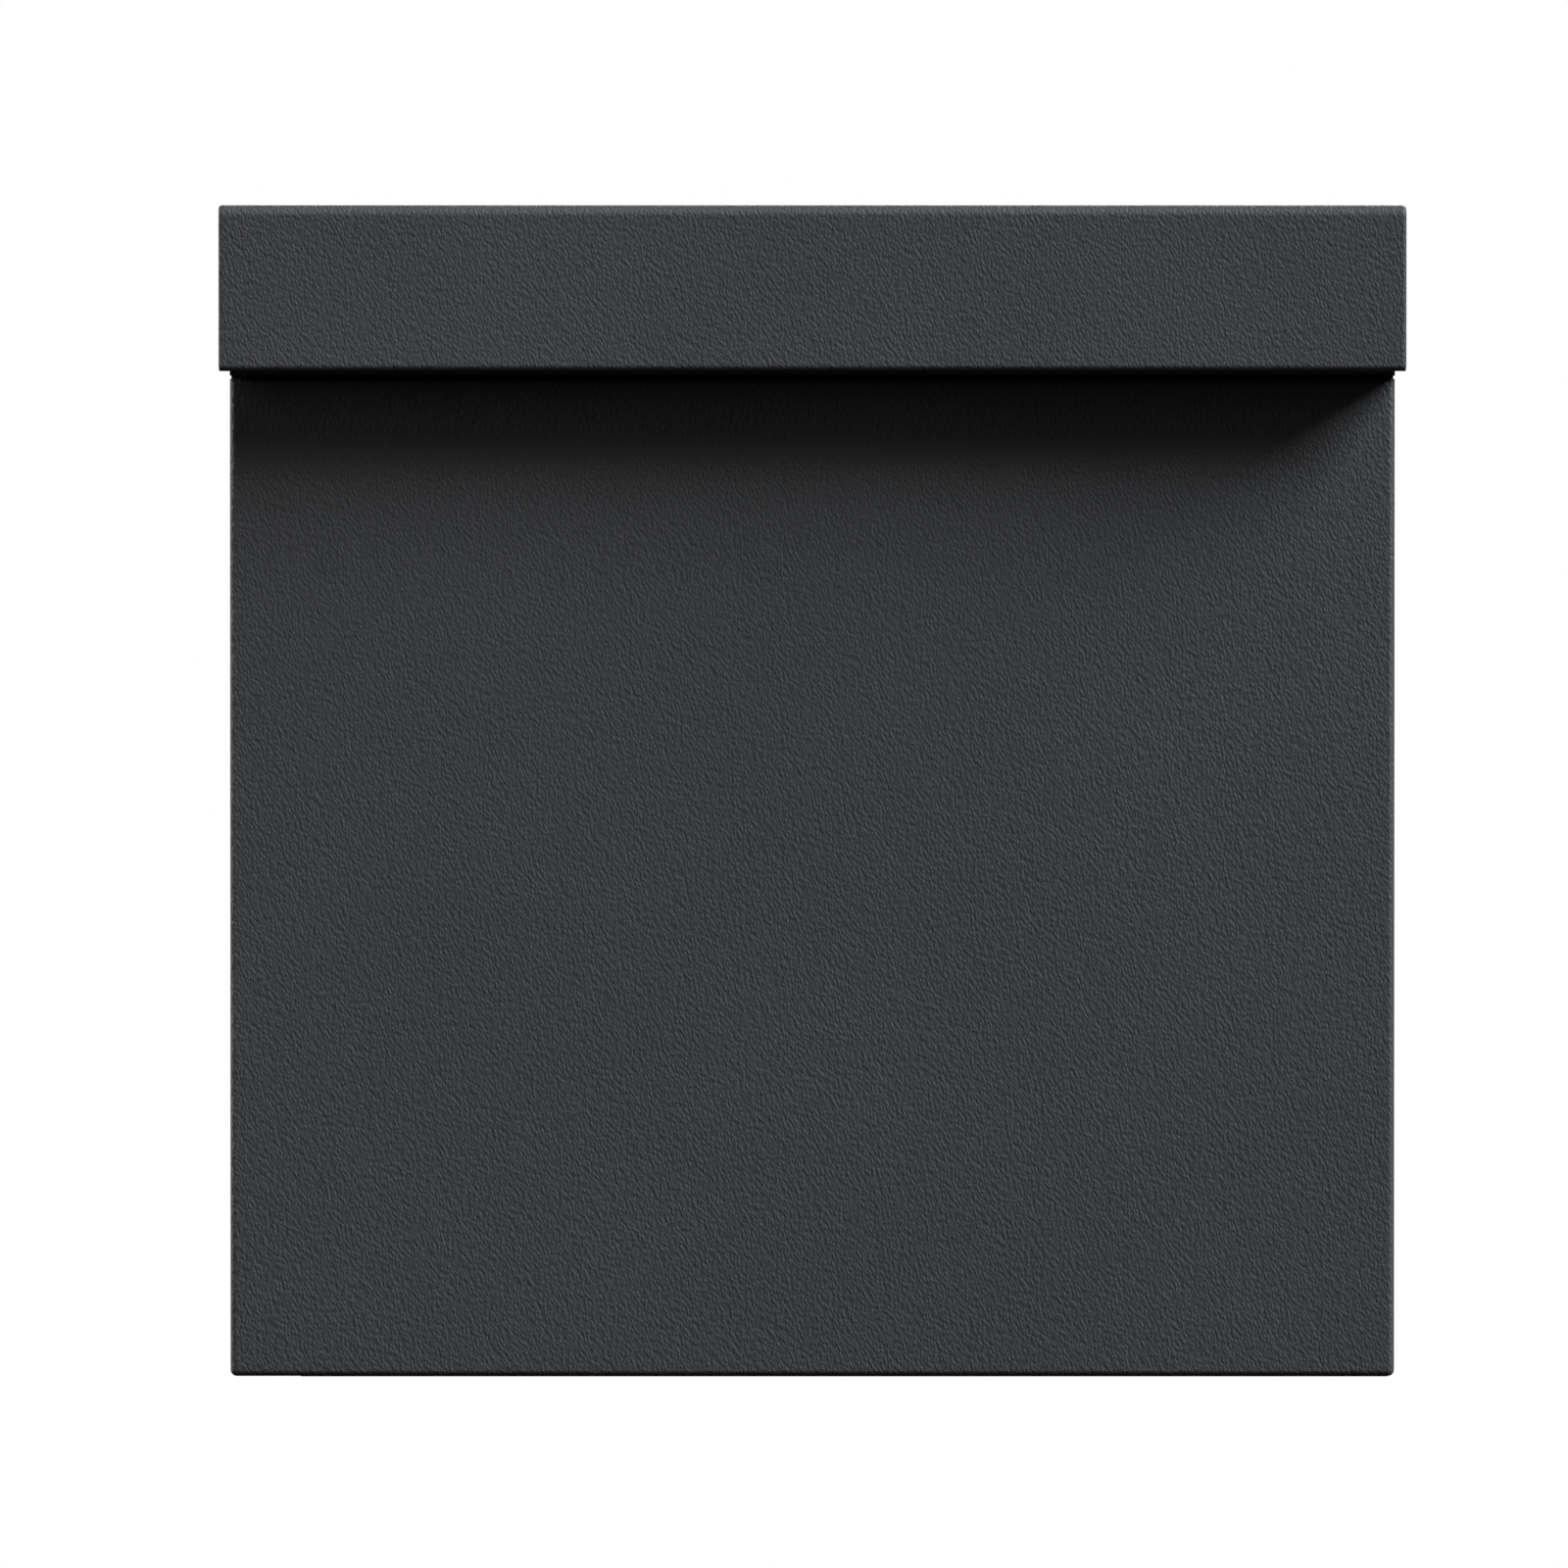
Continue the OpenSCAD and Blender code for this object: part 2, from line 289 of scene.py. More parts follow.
def draw_out(obj: Piece, wanted: Test, move: Point) -> None:
    """Extrudes chosen edges along a straight line.

    Args:
        obj: the piece.
        wanted: says yes to an edge's middle and direction.
        move: how far the new edges go.
    """
    with editing(obj):
        pick(obj, Part.EDGE, wanted)
        bpy.ops.mesh.extrude_region_move(TRANSFORM_OT_translate={"value": tuple(move)})


def extrude(far: float) -> None:
    """Extrudes what is selected along Y."""
    bpy.ops.mesh.extrude_region_move(TRANSFORM_OT_translate={"value": (0, far, 0)})


def modify(obj: Piece, kind: str, **settings: object) -> None:
    """Adds one modifier and applies it.

    Args:
        obj: the piece.
        kind: the modifier's type.
        **settings: the modifier's own values.
    """
    take(obj)
    modifier = obj.modifiers.new(kind.lower(), kind)
    for key, value in settings.items():
        setattr(modifier, key, value)
    bpy.ops.object.modifier_apply(modifier=modifier.name)


def face_out(obj: Piece) -> None:
    """Merges doubles and turns every face outwards."""
    with editing(obj):
        bpy.ops.mesh.select_all(action="SELECT")
        bpy.ops.mesh.remove_doubles(threshold=EXACT)
        bpy.ops.mesh.normals_make_consistent(inside=False)


def gauge(obj: Piece, thickness: float) -> None:
    """Gives an open skin its sheet thickness, inwards.

    Args:
        obj: the piece.
        thickness: how thick the sheet is.
    """
    modify(obj, "SOLIDIFY", thickness=thickness, offset=-1.0, use_even_offset=True, use_quality_normals=True)


def cut(obj: Piece, tool: Piece) -> None:
    """Takes a tool's shape out of a piece, and the tool away.

    Args:
        obj: the piece.
        tool: the shape to take out.
    """
    modify(obj, "BOOLEAN", operation="DIFFERENCE", solver="EXACT", object=tool)
    bpy.data.objects.remove(tool, do_unlink=True)


def bend(
    name: str, x0: float, x1: float, path: Sequence[tuple[float, float]], sheet: float, radius: float
) -> Piece:
    """Folds a strip that runs along X: a flat plate, drawn on from its edge round each corner of a path.

    Args:
        name: the piece's name.
        x0: the strip's left end.
        x1: its right end.
        path: the corners of one face as (y, z) pairs; the first leg lies along Y or Z.
        sheet: its thickness, on the path's right-hand side, or on its left if negative.
        radius: the radius of its folds, on the path's face.

    Returns:
        The new piece.
    """
    clear_bench()
    (ya, za), (yb, zb) = path[0], path[1]
    flat = abs(zb - za) < EXACT
    middle = ((x0 + x1) / 2, (ya + yb) / 2, (za + zb) / 2)
    turn = (0 if flat else math.pi / 2, 0, 0)
    bpy.ops.mesh.primitive_plane_add(size=1, location=middle, rotation=turn)
    strip = bpy.context.active_object
    strip.scale = (x1 - x0, abs(yb - ya) if flat else abs(zb - za), 1)
    settle(strip, name)
    for (y, z), (y_next, z_next) in zip(path[1:], path[2:]):
        draw_out(
            strip,
            lambda m, d: abs(m.y - y) < EXACT and abs(m.z - z) < EXACT and along(d.x),
            (0, y_next - y, z_next - z),
        )
    corners = path[1:-1]
    fold(
        strip,
        lambda m, d: along(d.x) and any(abs(m.y - y) + abs(m.z - z) < EXACT for y, z in corners),
        radius,
        5,
    )
    with editing(strip):
        bpy.ops.mesh.select_all(action="SELECT")
        bpy.ops.mesh.normals_make_consistent(inside=False)
        mesh = bmesh.from_edit_mesh(strip.data)
        first = min(
            mesh.faces,
            key=lambda f: abs(f.calc_center_median().y - (ya + yb) / 2)
            + abs(f.calc_center_median().z - (za + zb) / 2),
        )
        right = Vector((0, zb - za, ya - yb)).normalized()
        if first.normal.dot(right) > 0:
            bpy.ops.mesh.flip_normals()
    modify(strip, "SOLIDIFY", thickness=abs(sheet), offset=-1.0 if sheet > 0 else 1.0, use_even_offset=True)
    return strip


def join(name: str, pieces: Sequence[Piece]) -> Piece:
    """Makes several pieces one object.

    Args:
        name: the joined piece's name.
        pieces: what to join.

    Returns:
        The joined piece.
    """
    clear_bench()
    for piece in pieces:
        piece.select_set(True)
    bpy.context.view_layer.objects.active = pieces[0]
    if len(pieces) > 1:
        bpy.ops.object.join()
    pieces[0].name = pieces[0].data.name = name
    return pieces[0]


def weld_marks(axis: Axis, way: int, places: Sequence[Point], radius: float = 2.8 * MM) -> list[Piece]:
    """Spot weld marks: shallow dished discs pressed into a flange.

    Args:
        axis: the axis they face along.
        way: 1 if they face up that axis, -1 if down it.
        places: the middle of each mark's foot.
        radius: a mark's radius.

    Returns:
        One piece for each mark.
    """
    k, marks = axis.value, []
    rise = 0.22 * MM
    for place in places:
        start = list(place)
        start[k] += min(0.0, way * rise)
        mark = rod("weld_mark", axis, start, rise, radius, 24)
        sink = [0.0, 0.0, 0.0]
        sink[k] = -way * 0.16 * MM
        with editing(mark):
            pick(mark, Part.FACE, lambda m, n: n[k] * way > SQUARE)
            bpy.ops.mesh.inset(thickness=radius * 0.22)
            bpy.ops.mesh.inset(thickness=radius * 0.12)
            bpy.ops.transform.translate(value=sink)
        marks.append(mark)
    return marks


def domed(name: str, axis: Axis, foot: Point, height: float, radius: float) -> Piece:
    """A low dome on its foot.

    Args:
        name: the piece's name.
        axis: the axis the dome points along.
        foot: the middle of its foot.
        height: how high it stands, negative to point the other way.
        radius: its radius at the foot.

    Returns:
        The dome.
    """
    start = list(foot)
    k = axis.value
    start[k] += min(0.0, height)
    head = rod(name, axis, start, abs(height), radius, 32)
    tip = foot[k] + height
    with editing(head):
        pick(head, Part.FACE, lambda m, n: abs(m[k] - tip) < EXACT)
        bpy.ops.mesh.bevel(offset=abs(height) * 0.92, segments=6, profile=0.5, affect="EDGES")
    return head


def ease(obj: Piece, width: float = 0.25 * MM, steps: int = 2, angle: float = 50.0) -> Piece:
    """Breaks the sharp edges and shades the piece smooth, with its flats kept flat.

    Args:
        obj: the piece.
        width: how wide the broken edge is.
        steps: how many faces each has.
        angle: edges sharper than this many degrees are broken.

    Returns:
        The same piece.
    """
    face_out(obj)
    if width > 0:
        modify(
            obj, "BEVEL", width=width, segments=steps, limit_method="ANGLE",
            angle_limit=math.radians(angle), harden_normals=False, use_clamp_overlap=True,
        )
    take(obj)
    bpy.ops.object.shade_smooth_by_angle(angle=math.radians(40))
    modify(obj, "WEIGHTED_NORMAL", keep_sharp=True, weight=60)
    return obj


@dataclass(frozen=True)
class Channel:
    """A channel folded with a flange down each side, spot-welded in two rows."""

    name: str
    node: str
    run: Axis
    face: Axis
    way: int
    sheet: float
    flange: float
    radius: float
    row_in: float
    end_in: float
    spots: int = 6

    def build(self) -> Piece:
        """Folds the channel along its run, with its web facing one way along the face's axis.

        Returns:
            The channel.
        """
        low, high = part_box(self.node)
        run, face, way = self.run.value, self.face.value, self.way
        side = 3 - run - face
        web, base = (high[face], low[face]) if way > 0 else (low[face], high[face])
        inner = base + way * self.sheet

        def corner(end: Vector, across: float, out: float) -> Point:
            """A corner at one end of the run."""
            return [out if k == face else across if k == side else end[k] for k in range(3)]

        in_by = self.flange - self.sheet
        start, end = corner(low, low[side] + in_by, low[face]), corner(high, high[side] - in_by, high[face])
        skin = block(self.name, start, end)
        fold(skin, lambda m, d: way * (m[face] - web) > -NEAR and along(d[run]), self.radius, 4)
        open_sides(skin, lambda m, n: along(n[run]) or way * n[face] < -SQUARE)
        gauge(skin, self.sheet)
        wide = self.flange - 0.1 * MM
        foot, top = sorted((base, inner))
        flanges = [
            block("flange", corner(low, a, foot), corner(high, b, top))
            for a, b in ((low[side], low[side] + wide), (high[side] - wide, high[side]))
        ]
        gap = (high[run] - low[run] - 2 * self.end_in) / (self.spots - 1)
        places = []
        for across in (low[side] + self.row_in, high[side] - self.row_in):
            for k in range(self.spots):
                place = corner(low, across, inner)
                place[run] = low[run] + self.end_in + k * gap
                places.append(place)
        marks = weld_marks(self.face, way, places)
        return ease(join(self.name, [skin, *flanges, *marks]), 0.2 * MM)


def hang(obj: Piece, body: Body, finish: "Finish", *nodes: str) -> None:
    """Dresses a finished piece and hangs it on its body.

    Args:
        obj: the finished piece.
        body: the body it rides on.
        finish: what it is coated with.
        *nodes: the CAD nodes that it stands for.
    """
    obj.data.materials.clear()
    obj.data.materials.append(finish.material())
    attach(obj, body.value)
    if nodes:
        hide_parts(*nodes)
    LOG.info("%s: %d faces, on %s", obj.name, len(obj.data.polygons), body.value)


# ---------------- finishes


@dataclass
class Recipe:
    """A material's nodes while they are being put together."""

    name: str
    stuff: bpy.types.Material = field(init=False)

    def __post_init__(self) -> None:
        """Starts from a bare shader."""
        self.stuff = bpy.data.materials.new(self.name)
        self.stuff.use_nodes = True
        self.tree = self.stuff.node_tree
        self.shader = self.tree.nodes["Principled BSDF"]

    def feed(self, socket: Socket, value: object) -> None:
        """Gives a socket a plain value, or links another node's socket to it.

        Args:
            socket: the socket.
            value: what it gets.
        """
        if isinstance(value, Socket):
            self.tree.links.new(value, socket)
        else:
            socket.default_value = value

    def add(self, kind: str, inputs: dict[str, object] | None = None, **props: object) -> bpy.types.Node:
        """Adds one node.

        Args:
            kind: the node's type, without its ShaderNode prefix.
            inputs: values or sockets for its inputs, by name or number.
            **props: the node's own settings.

        Returns:
            The new node.
        """
        node = self.tree.nodes.new("ShaderNode" + kind)
        for key, value in props.items():
            setattr(node, key, value)
        for key, value in (inputs or {}).items():
            socket = node.inputs[int(key)] if key.isdigit() else node.inputs[key]
            self.feed(socket, value)
        return node

    def place(self, stretch: Point = (1, 1, 1), lean: float = 0.0) -> Socket:
        """Object coordinates, leaned about Y and then stretched along each axis.

        Args:
            stretch: how much finer the pattern runs along X, Y and Z.
            lean: how far the pattern leans over to the left, in degrees.

        Returns:
            The vector socket.
        """
        where = self.add("TexCoord").outputs["Object"]
        if lean:
            turned = {"Vector": where, "Rotation": (0.0, math.radians(lean), 0.0)}
            where = self.add("Mapping", turned).outputs[0]
        return self.add("Mapping", {"Vector": where, "Scale": tuple(stretch)}).outputs[0]

    def noise(self, where: Socket, scale: float, detail: float, rough: float) -> Socket:
        """Soft noise.

        Args:
            where: the coordinates.
            scale: cells per metre.
            detail: how many finer layers.
            rough: how strong the finer layers are.

        Returns:
            The value socket.
        """
        texture = {"Vector": where, "Scale": scale, "Detail": detail, "Roughness": rough}
        return self.add("TexNoise", texture).outputs["Fac"]

    def spread(self, value: Socket, low: float, high: float, to_low: float, to_high: float) -> Socket:
        """Moves a value from one range to another.

        Args:
            value: the value.
            low: its low end.
            high: its high end.
            to_low: where the low end goes.
            to_high: where the high end goes.

        Returns:
            The new value socket.
        """
        ends = {"Value": value, "From Min": low, "From Max": high, "To Min": to_low, "To Max": to_high}
        return self.add("MapRange", ends).outputs[0]

    def sum(self, one: Socket, other: Socket, share: float) -> Socket:
        """One value plus a share of another.

        Args:
            one: the first value.
            other: the second value.
            share: how much of the second is added.

        Returns:
            The value socket.
        """
        return self.add("Math", {"0": other, "1": share, "2": one}, operation="MULTIPLY_ADD").outputs[0]

    def tinge(self, share: Socket, colour: Colour, dark: float, light: float) -> None:
        """Colours the shader with a colour that goes from darker to lighter.

        Args:
            share: 0 for the darker end, 1 for the lighter one.
            colour: the colour.
            dark: what it is multiplied by at the darker end.
            light: what it is multiplied by at the lighter end.
        """
        ends = [(*(min(1.0, c * factor) for c in colour), 1) for factor in (dark, light)]
        mix = self.add("Mix", {"0": share, "6": ends[0], "7": ends[1]}, data_type="RGBA")
        self.put("Base Color", mix.outputs[2])

    def relief(self, height: Socket, depth: float) -> None:
        """Raises the surface by a height.

        Args:
            height: the height, from 0 to 1.
            depth: how far 1 stands out, in metres.
        """
        bump = self.add("Bump", {"Height": height, "Distance": depth, "Strength": 1.0})
        self.put("Normal", bump.outputs[0])

    def put(self, name: str, value: object) -> None:
        """Feeds one of the shader's sockets."""
        self.feed(self.shader.inputs[name], value)


class Finish:
    """What a piece is made of or coated with. Each kind makes its material once."""

    slot: Slot
    name: str

    def mix(self, recipe: Recipe) -> None:
        """Puts the material's nodes together."""
        raise NotImplementedError

    def material(self) -> bpy.types.Material:
        """The finish's material, made the first time it is asked for."""
        made = bpy.data.materials.get(self.name)
        if made is None:
            recipe = Recipe(self.name)
            self.mix(recipe)
            made = recipe.stuff
        return made


@dataclass(frozen=True)
class PowderCoat(Finish):
    """Matt structured powder coat: small rounded grains that run together, a little longer than wide."""

    name: str = "structured_powder_coat"
    slot: Slot = Slot.COAT
    colour: Colour = (0.0475, 0.0485, 0.0515)
    grain: float = 0.8 * MM
    length_share: float = 0.55
    lean: float = 13.0
    relief: float = 0.148 * MM
    roughness: float = 0.6

    def mix(self, recipe: Recipe) -> None:
        """Grains from warped cells and noise, with faint broad patches, and painted shade: the colour darkens
        in the low creases between grains and lightens on their raised tops.

        Args:
            recipe: the material to mix.
        """
        where = recipe.place((1.0, 1.0, self.length_share), self.lean)
        warp = recipe.add("TexNoise", {"Vector": where, "Scale": 0.55 / self.grain, "Detail": 2.0})
        push = {"0": warp.outputs["Color"], "Scale": 0.9 * self.grain}
        shove = recipe.add("VectorMath", push, operation="SCALE")
        bent = recipe.add("VectorMath", {"0": where, "1": shove.outputs[0]}, operation="ADD").outputs[0]
        cells = recipe.add(
            "TexVoronoi", {"Vector": bent, "Scale": 1 / self.grain, "Smoothness": 0.7}, feature="SMOOTH_F1"
        )
        domes = recipe.spread(cells.outputs["Distance"], 0.15, 0.75, 1.0, 0.0)
        ripple = recipe.noise(where, 1.1 / self.grain, 3.0, 0.55)
        dust = recipe.noise(where, 6.0 / self.grain, 2.0, 0.6)
        height = recipe.sum(recipe.sum(domes, ripple, 0.9), dust, 0.12)
        patch = recipe.noise(recipe.place(), 14.0, 3.0, 0.5)
        # painted shade: the coat's colour follows the grain height, darker in the low creases and lighter on
        # the raised tops, plus random broad patches
        crease_shade_and_patches = recipe.sum(recipe.spread(height, 0.2, 1.6, 0.0, 0.75), patch, 0.6)
        recipe.tinge(crease_shade_and_patches, self.colour, 0.8, 1.22)
        gloss = recipe.spread(ripple, 0.3, 0.7, self.roughness - 0.08, self.roughness + 0.08)
        recipe.put("Roughness", gloss)
        recipe.put("Specular IOR Level", 0.42)
        recipe.relief(height, self.relief)


# The inner coat is mixed the same way, including the painted shade in the creases between grains.
@dataclass(frozen=True)
class InnerCoat(PowderCoat):
    """The thinner, smoother coat that reaches the inside of the box."""

    name: str = "inner_powder_coat"
    grain: float = 0.7 * MM
    relief: float = 0.05 * MM
    roughness: float = 0.55


@dataclass(frozen=True)
class PlatedSteel(Finish):
    """Bright plating over steel, with faint clouds and drawing lines."""

    name: str = "zinc_plate"
    slot: Slot = Slot.ZINC
    colour: Colour = (0.62, 0.63, 0.65)
    roughness: float = 0.47
    lines: Point = (1.0, 1.0, 9.0)

    def mix(self, recipe: Recipe) -> None:
        """Clouds in the tint and fine lines in the gloss.

        Args:
            recipe: the material to mix.
        """
        clouds = recipe.noise(recipe.place(), 190.0, 4.0, 0.6)
        drawn = recipe.noise(recipe.place(self.lines), 900.0, 3.0, 0.6)
        recipe.tinge(clouds, self.colour, 0.82, 1.1)
        recipe.put("Roughness", recipe.spread(drawn, 0.3, 0.7, self.roughness - 0.09, self.roughness + 0.12))
        recipe.put("Metallic", 1.0)
        recipe.relief(drawn, 0.004 * MM)


@dataclass(frozen=True)
class NickelPlate(PlatedSteel):
    """Warm satin nickel on the lock."""

    name: str = "nickel_plate"
    slot: Slot = Slot.NICKEL
    colour: Colour = (0.70, 0.66, 0.60)
    roughness: float = 0.4
    lines: Point = (7.0, 1.0, 7.0)


@dataclass(frozen=True)
class MouldedRubber(Finish):
    """Matt black rubber with a dusty bloom."""

    name: str = "moulded_rubber"
    slot: Slot = Slot.RUBBER
    colour: Colour = (0.017, 0.017, 0.018)
    roughness: float = 0.78

    def mix(self, recipe: Recipe) -> None:
        """Bloom in soft clouds over a fine pebble.

        Args:
            recipe: the material to mix.
        """
        bloom = recipe.noise(recipe.place(), 240.0, 4.0, 0.6)
        pebble = recipe.noise(recipe.place(), 2600.0, 2.0, 0.5)
        recipe.tinge(bloom, self.colour, 0.7, 1.9)
        recipe.put("Roughness", recipe.spread(bloom, 0.3, 0.7, self.roughness - 0.08, self.roughness + 0.12))
        recipe.relief(pebble, 0.02 * MM)


@dataclass(frozen=True)
class TurnedNylon(MouldedRubber):
    """Satin black nylon."""

    name: str = "turned_nylon"
    slot: Slot = Slot.NYLON
    colour: Colour = (0.022, 0.022, 0.024)
    roughness: float = 0.46


COAT = PowderCoat()
INNER = InnerCoat()
ZINC = PlatedSteel()
NICKEL = NickelPlate()
RUBBER = MouldedRubber()
NYLON = TurnedNylon()


# ---------------- sub-assemblies


@dataclass
class Hood:
    """The lifting hood: one folded sheet with a lip turned inward along the foot of its band."""

    sheet: float = 1.5 * MM
    crown_fold: float = 3.5 * MM
    side_fold: float = 1.2 * MM
    lip_fold: float = 2.0 * MM
    lip: float = 10 * MM
    pin_radius: float = 4.02 * MM

    def shell(self) -> Piece:
        """Folds the hood's sheet.

        Returns:
            The hood's skin.
        """
        low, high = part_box("hood_shell")
        skin = block("hood_skin", low, high)
        fold(skin, lambda m, d: m.z < low.z + NEAR and along(d.x) and m.y < low.y + NEAR, self.lip_fold, 5)
        fold(
            skin, lambda m, d: m.z > high.z - NEAR and m.y < low.y + NEAR and along(d.x), self.crown_fold, 8
        )
        crown = self.crown_fold + NEAR

        def outline(m: Vector, d: Vector) -> bool:
            """Whether an edge is on a side's outline, apart from its foot and its back."""
            front_or_top = m.y < low.y + crown or m.z > high.z - crown
            return abs(m.x) > high.x - NEAR and abs(d.x) < 0.1 and front_or_top and m.y < high.y - NEAR

        fold(skin, outline, self.side_fold)
        score(skin, (0, low.y + self.lip, 0), (0, 1, 0))
        open_sides(
            skin,
            lambda m, n: n.y > SQUARE or (n.z < -SQUARE and m.y > low.y + self.lip),
        )
        gauge(skin, self.sheet)
        axis = centre("hood_bushes")
        for x in (low.x, high.x):
            cut(skin, rod("pivot_drill", Axis.X, (x - 4 * MM, axis.y, axis.z), 8 * MM, self.pin_radius, 32))
        return ease(skin, 0.3 * MM)

    def build(self) -> None:
        """Makes and hangs the hood's pieces."""
        hang(self.shell(), Body.HOOD, COAT, "hood_shell")
        channel = Channel(
            "hood_channel", "hood_stiffener", run=Axis.X, face=Axis.Z, way=-1, sheet=1.2 * MM, flange=8.8 * MM,
            radius=1.6 * MM, row_in=4 * MM, end_in=24 * MM,
        )
        hang(channel.build(), Body.HOOD, INNER, "hood_stiffener")


@dataclass
class Door:
    """The full-width front door, a shallow pan with its flanges folded back."""

    sheet: float = 1.2 * MM
    fold_radius: float = 2.0 * MM
    notch_height: float = 8 * MM
    notch_reach: float = 3.2 * MM
    pin_hole: float = 2.02 * MM

    def shell(self) -> Piece:
        """Folds the pan and notches it round the hidden hinges.

        Returns:
            The door's skin.
        """
        low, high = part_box("door_panel")
        skin = block("door_skin", low, high)
        fold(
            skin,
            lambda m, d: m.y < low.y + NEAR or (along(d.y) and m.z < low.z + LOOSE),
            self.fold_radius,
        )
        open_sides(skin, lambda m, n: n.y > SQUARE)
        gauge(skin, self.sheet)
        axis = centre("door_hinge_pins")
        tall = self.notch_height
        for z0, z1 in ((low.z - 1 * MM, low.z + tall), (high.z - tall, high.z + 1 * MM)):
            start = (low.x - 1 * MM, axis.y + 2 * MM, z0)
            cut(skin, block("notch", start, (low.x + self.notch_reach, high.y + 1 * MM, z1)))
            foot = (axis.x, axis.y, (z0 + z1) / 2 - 6 * MM)
            cut(skin, rod("pin_drill", Axis.Z, foot, 12 * MM, self.pin_hole, 32))
        return ease(skin, 0.22 * MM)

    def hook(self) -> Piece:
        """Folds the hook that the cam turns down in front of.

        Returns:
            The hook.
        """
        low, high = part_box("door_catch")
        shelf, upright = low.z + 15.5 * MM, high.y - 1.5 * MM
        strip = bend(
            "latch_hook", low.x, high.x,
            [(low.y, low.z), (low.y, shelf), (upright, shelf), (upright, high.z)], 1.5 * MM, 1.2 * MM,
        )
        return ease(strip, 0.25 * MM)

    def build(self) -> None:
        """Makes and hangs the door's pieces."""
        hang(self.shell(), Body.DOOR, COAT, "door_panel")
        hang(self.hook(), Body.DOOR, ZINC, "door_catch")
        channel = Channel(
            "door_channel", "door_stiffener", run=Axis.Z, face=Axis.Y, way=1, sheet=self.sheet, flange=10 * MM,
            radius=1.8 * MM, row_in=4.4 * MM, end_in=20 * MM,
        )
        hang(channel.build(), Body.DOOR, INNER, "door_stiffener")


@dataclass
class Housing:
    """The fixed box: sides and foot in one sheet, back, deck with the letter slot, and the fascia."""

    sheet: float = 1.2 * MM
    fold_radius: float = 2.0 * MM
    ear_radius: float = 5.5 * MM
    pin_hole: float = 3.02 * MM
    door_gap: float = 1.5 * MM
    drains: Point = (-0.12, 0.0, 0.12)
    drain_y: float = -0.03
    drain_radius: float = 3 * MM
    wall_x: float = 0.145
    wall_z: float = 0.115
    wall_radius: float = 3.5 * MM
    lock_hole: float = 9.02 * MM
    slot_rim: float = 5 * MM
    slot_corner: float = 4 * MM
    buffer_radius: float = 7 * MM
    bumper_radius: float = 3.5 * MM

    def shell(self) -> Piece:
        """Bends the sides and the foot, and draws out the cheeks and the pivot ears.

        Returns:
            The shell's skin.
        """
        low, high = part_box("body_shell")
        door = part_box("door_panel")
        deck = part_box("top_deck")[1].z
        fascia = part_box("top_fascia")[0].z
        edge = door[1].y + self.door_gap
        axis = centre("hood_bushes")
        skin = block("body_skin", (low.x, edge, low.z), (high.x, high.y, deck))
        fold(skin, lambda m, d: along(d.y) and m.z < low.z + LOOSE, self.fold_radius)
        open_sides(skin, lambda m, n: along(n.y) or n.z > SQUARE)
        score(skin, (0, 0, fascia), (0, 0, 1))
        draw_out(
            skin, lambda m, d: m.y < edge + CLOSE and m.z > fascia + NEAR and along(d.z), (0, low.y - edge, 0)
        )
        for y in (axis.y - self.ear_radius, axis.y + self.ear_radius):
            score(skin, (0, y, 0), (0, 1, 0))
        draw_out(
            skin,
            lambda m, d: m.z > deck - CLOSE and abs(m.y - axis.y) < LOOSE and along(d.y),
            (0, 0, high.z - deck),
        )
        with editing(skin):
            pick(skin, Part.VERT, lambda m, n: m.z > high.z - CLOSE)
            bpy.ops.mesh.bevel(offset=self.ear_radius * 0.98, segments=8, affect="VERTICES")
        face_out(skin)
        gauge(skin, self.sheet)
        for x in (low.x, high.x):
            cut(skin, rod("pivot_drill", Axis.X, (x - 3 * MM, axis.y, axis.z), 6 * MM, self.pin_hole, 32))
        for x in self.drains:
            foot = (x, self.drain_y, low.z - 2 * MM)
            cut(skin, rod("drain_drill", Axis.Z, foot, 6 * MM, self.drain_radius, 32))
        return ease(skin, 0.22 * MM)

    def back(self) -> Piece:
        """Cuts the back sheet and drills its four wall holes.

        Returns:
            The back sheet.
        """
        low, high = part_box("back_panel")
        sheet = block("back_sheet", low, high)
        for x in (-self.wall_x, self.wall_x):
            for z in (-self.wall_z, self.wall_z):
                cut(sheet, rod("wall_drill", Axis.Y, (x, low.y - 2 * MM, z), 6 * MM, self.wall_radius, 40))
        return ease(sheet, 0.2 * MM)

    def mouth(self, trim: tuple[Vector, Vector], foot: float, top: float, steps: int) -> Piece:
        """The letter slot's shape, with rounded corners.

        Args:
            trim: the box of the slot's edging.
            foot: the height of its foot.
            top: the height of its top.
            steps: how many faces each corner has.

        Returns:
            The shape, to cut with.
        """
        (x0, y0, _), (x1, y1, _) = trim
        rim = self.slot_rim
        slot = block("mouth", (x0 + rim, y0 + rim, foot), (x1 - rim, y1 - rim, top))
        fold(slot, lambda m, d: along(d.z), self.slot_corner, steps)
        return slot

    def deck(self) -> Piece:
        """Cuts the deck and its letter slot, and turns its rear edge down.

        Returns:
            The deck.
        """
        low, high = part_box("top_deck")
        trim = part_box("slot_trim")
        sheet = block("deck_sheet", (low.x, low.y, high.z - self.sheet), high)
        cut(sheet, self.mouth(trim, low.z, high.z + 10 * MM, 6))
        foot = (low.x, high.y - 2 * self.sheet, low.z)
        turn = block("turn", foot, (high.x, high.y - self.sheet, high.z - self.sheet))
        return ease(join("deck_sheet", [sheet, turn]), 0.2 * MM)

    def trim(self) -> Piece:
        """Runs a rounded rubber edging round the letter slot.

        Returns:
            The edging.
        """
        low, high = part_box("slot_trim")
        ring = block("slot_edging", low, high)
        fold(ring, lambda m, d: along(d.z), self.slot_corner + self.slot_rim, 8)
        cut(ring, self.mouth((low, high), low.z - 10 * MM, high.z + 10 * MM, 8))
        return ease(ring, 0.7 * MM, 4)

